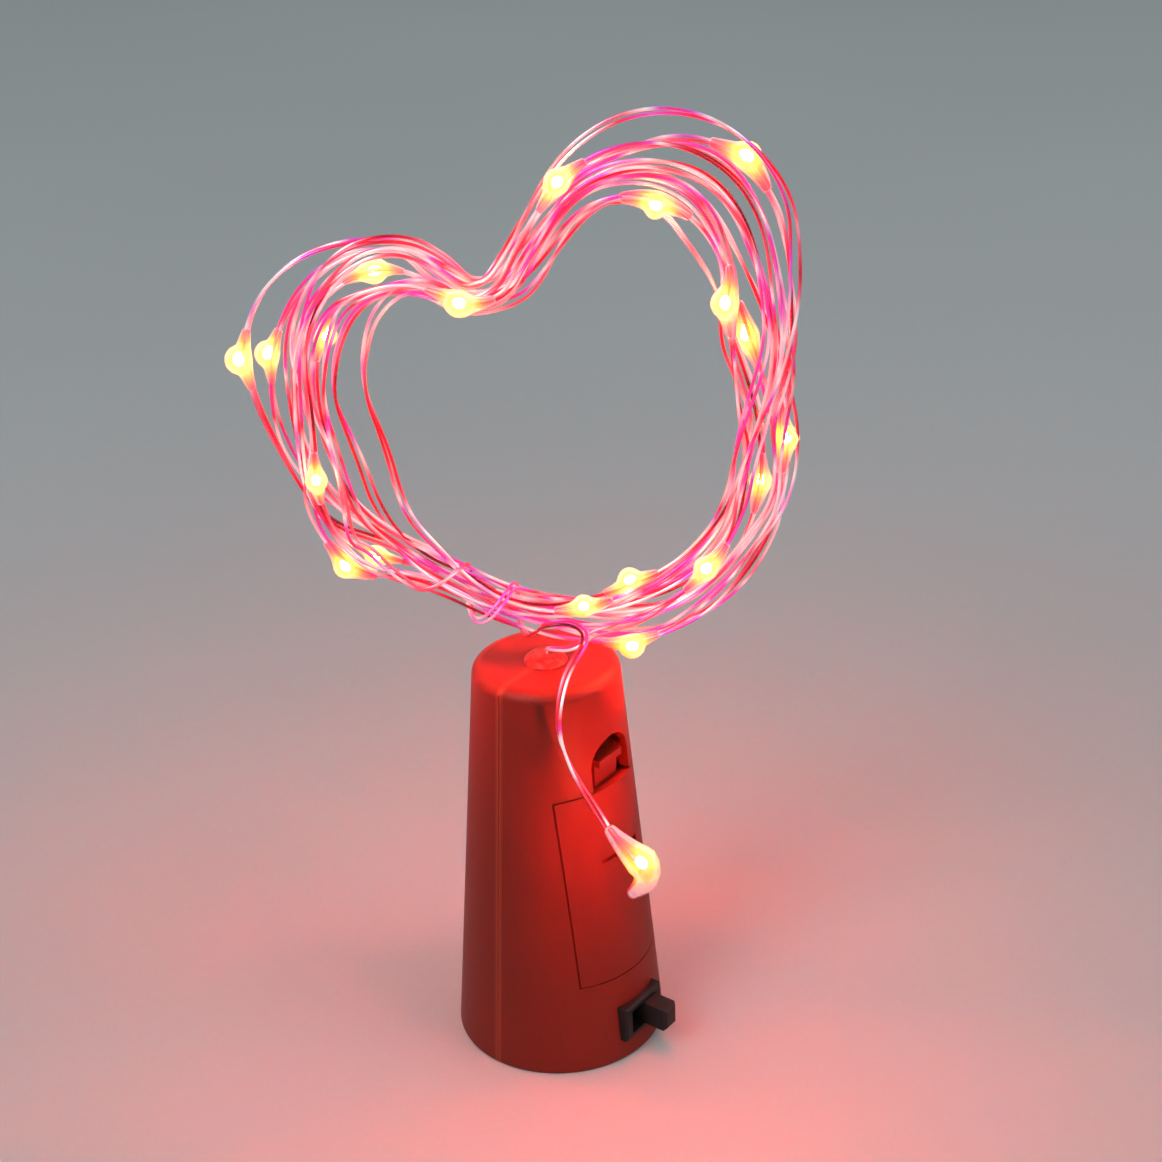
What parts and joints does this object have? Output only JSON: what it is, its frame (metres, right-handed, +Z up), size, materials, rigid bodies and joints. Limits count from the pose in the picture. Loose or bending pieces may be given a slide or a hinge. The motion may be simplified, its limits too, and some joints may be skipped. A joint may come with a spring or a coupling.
{
  "type": "cork bottle light",
  "caption": "Tapered cork-shaped bottle stopper with a battery bay, slide switch and a wire string of small lamps wound into a heart.",
  "frame": {"origin": "centre of the stopper's flat base", "axes": "+Z up along the stopper's axis, the heart stands in the XZ plane and the picture's front is -Y"},
  "size_m": [0.0566, 0.0321, 0.1021],
  "materials": {
    "shell": "satin, cork brown",
    "door": "satin, cork brown",
    "switch_black": "matte",
    "glue": "clear amber blob",
    "wire": "enamelled, lit red by its lamps",
    "resin": "clear cured resin, glows when lit",
    "lamp_chip": "red-yellow lamp chip, lit",
    "cell_steel": "plated steel",
    "contact": "plated",
    "spring_steel": "plated spring wire",
    "board": "green solder mask",
    "resistor": "matte",
    "can_steel": "plated sheet",
    "pins": "tinned",
    "inner_lead": "insulated"
  },
  "bodies": {
    "casing": {"button_cell_1": "cell_steel", "button_cell_2": "cell_steel", "button_cell_3": "cell_steel", "circuit_board": "board", "feed_wire": "wire", "front_shell": "shell", "glue_plug": "glue", "led_bead_01": "resin", "led_bead_02": "resin", "led_bead_03": "resin", "led_bead_04": "resin", "led_bead_05": "resin", "led_bead_06": "resin", "led_bead_07": "resin", "led_bead_08": "resin", "led_bead_09": "resin", "led_bead_10": "resin", "led_bead_11": "resin", "led_bead_12": "resin", "led_bead_13": "resin", "led_bead_14": "resin", "led_bead_15": "resin", "led_bead_16": "resin", "led_bead_17": "resin", "led_bead_18": "resin", "led_bead_19": "resin", "led_bead_20": "resin", "led_chips": "lamp_chip", "negative_spring": "spring_steel", "positive_contact": "contact", "positive_lead": "inner_lead", "rear_shell": "shell", "resistor": "resistor", "switch_bezel": "switch_black", "switch_can": "can_steel", "switch_terminals": "pins", "wire_heart": "wire", "wire_lead": "wire", "wire_tail": "wire"},
    "door": {"battery_door": "door"},
    "knob": {"switch_knob": "switch_black"}
  },
  "joints": [
    {"name": "door_hinge", "type": "hinge", "parent": "casing", "child": "door", "pos_m": [0.00837, -0.00654, 0.01055], "axis": [0.6157, 0.788, 0], "range_deg": [0, 60]},
    {"name": "switch_slide", "type": "slide", "parent": "casing", "child": "knob", "axis": [0.6157, 0.788, 0], "range_m": [-0.002, 0]}
  ]
}
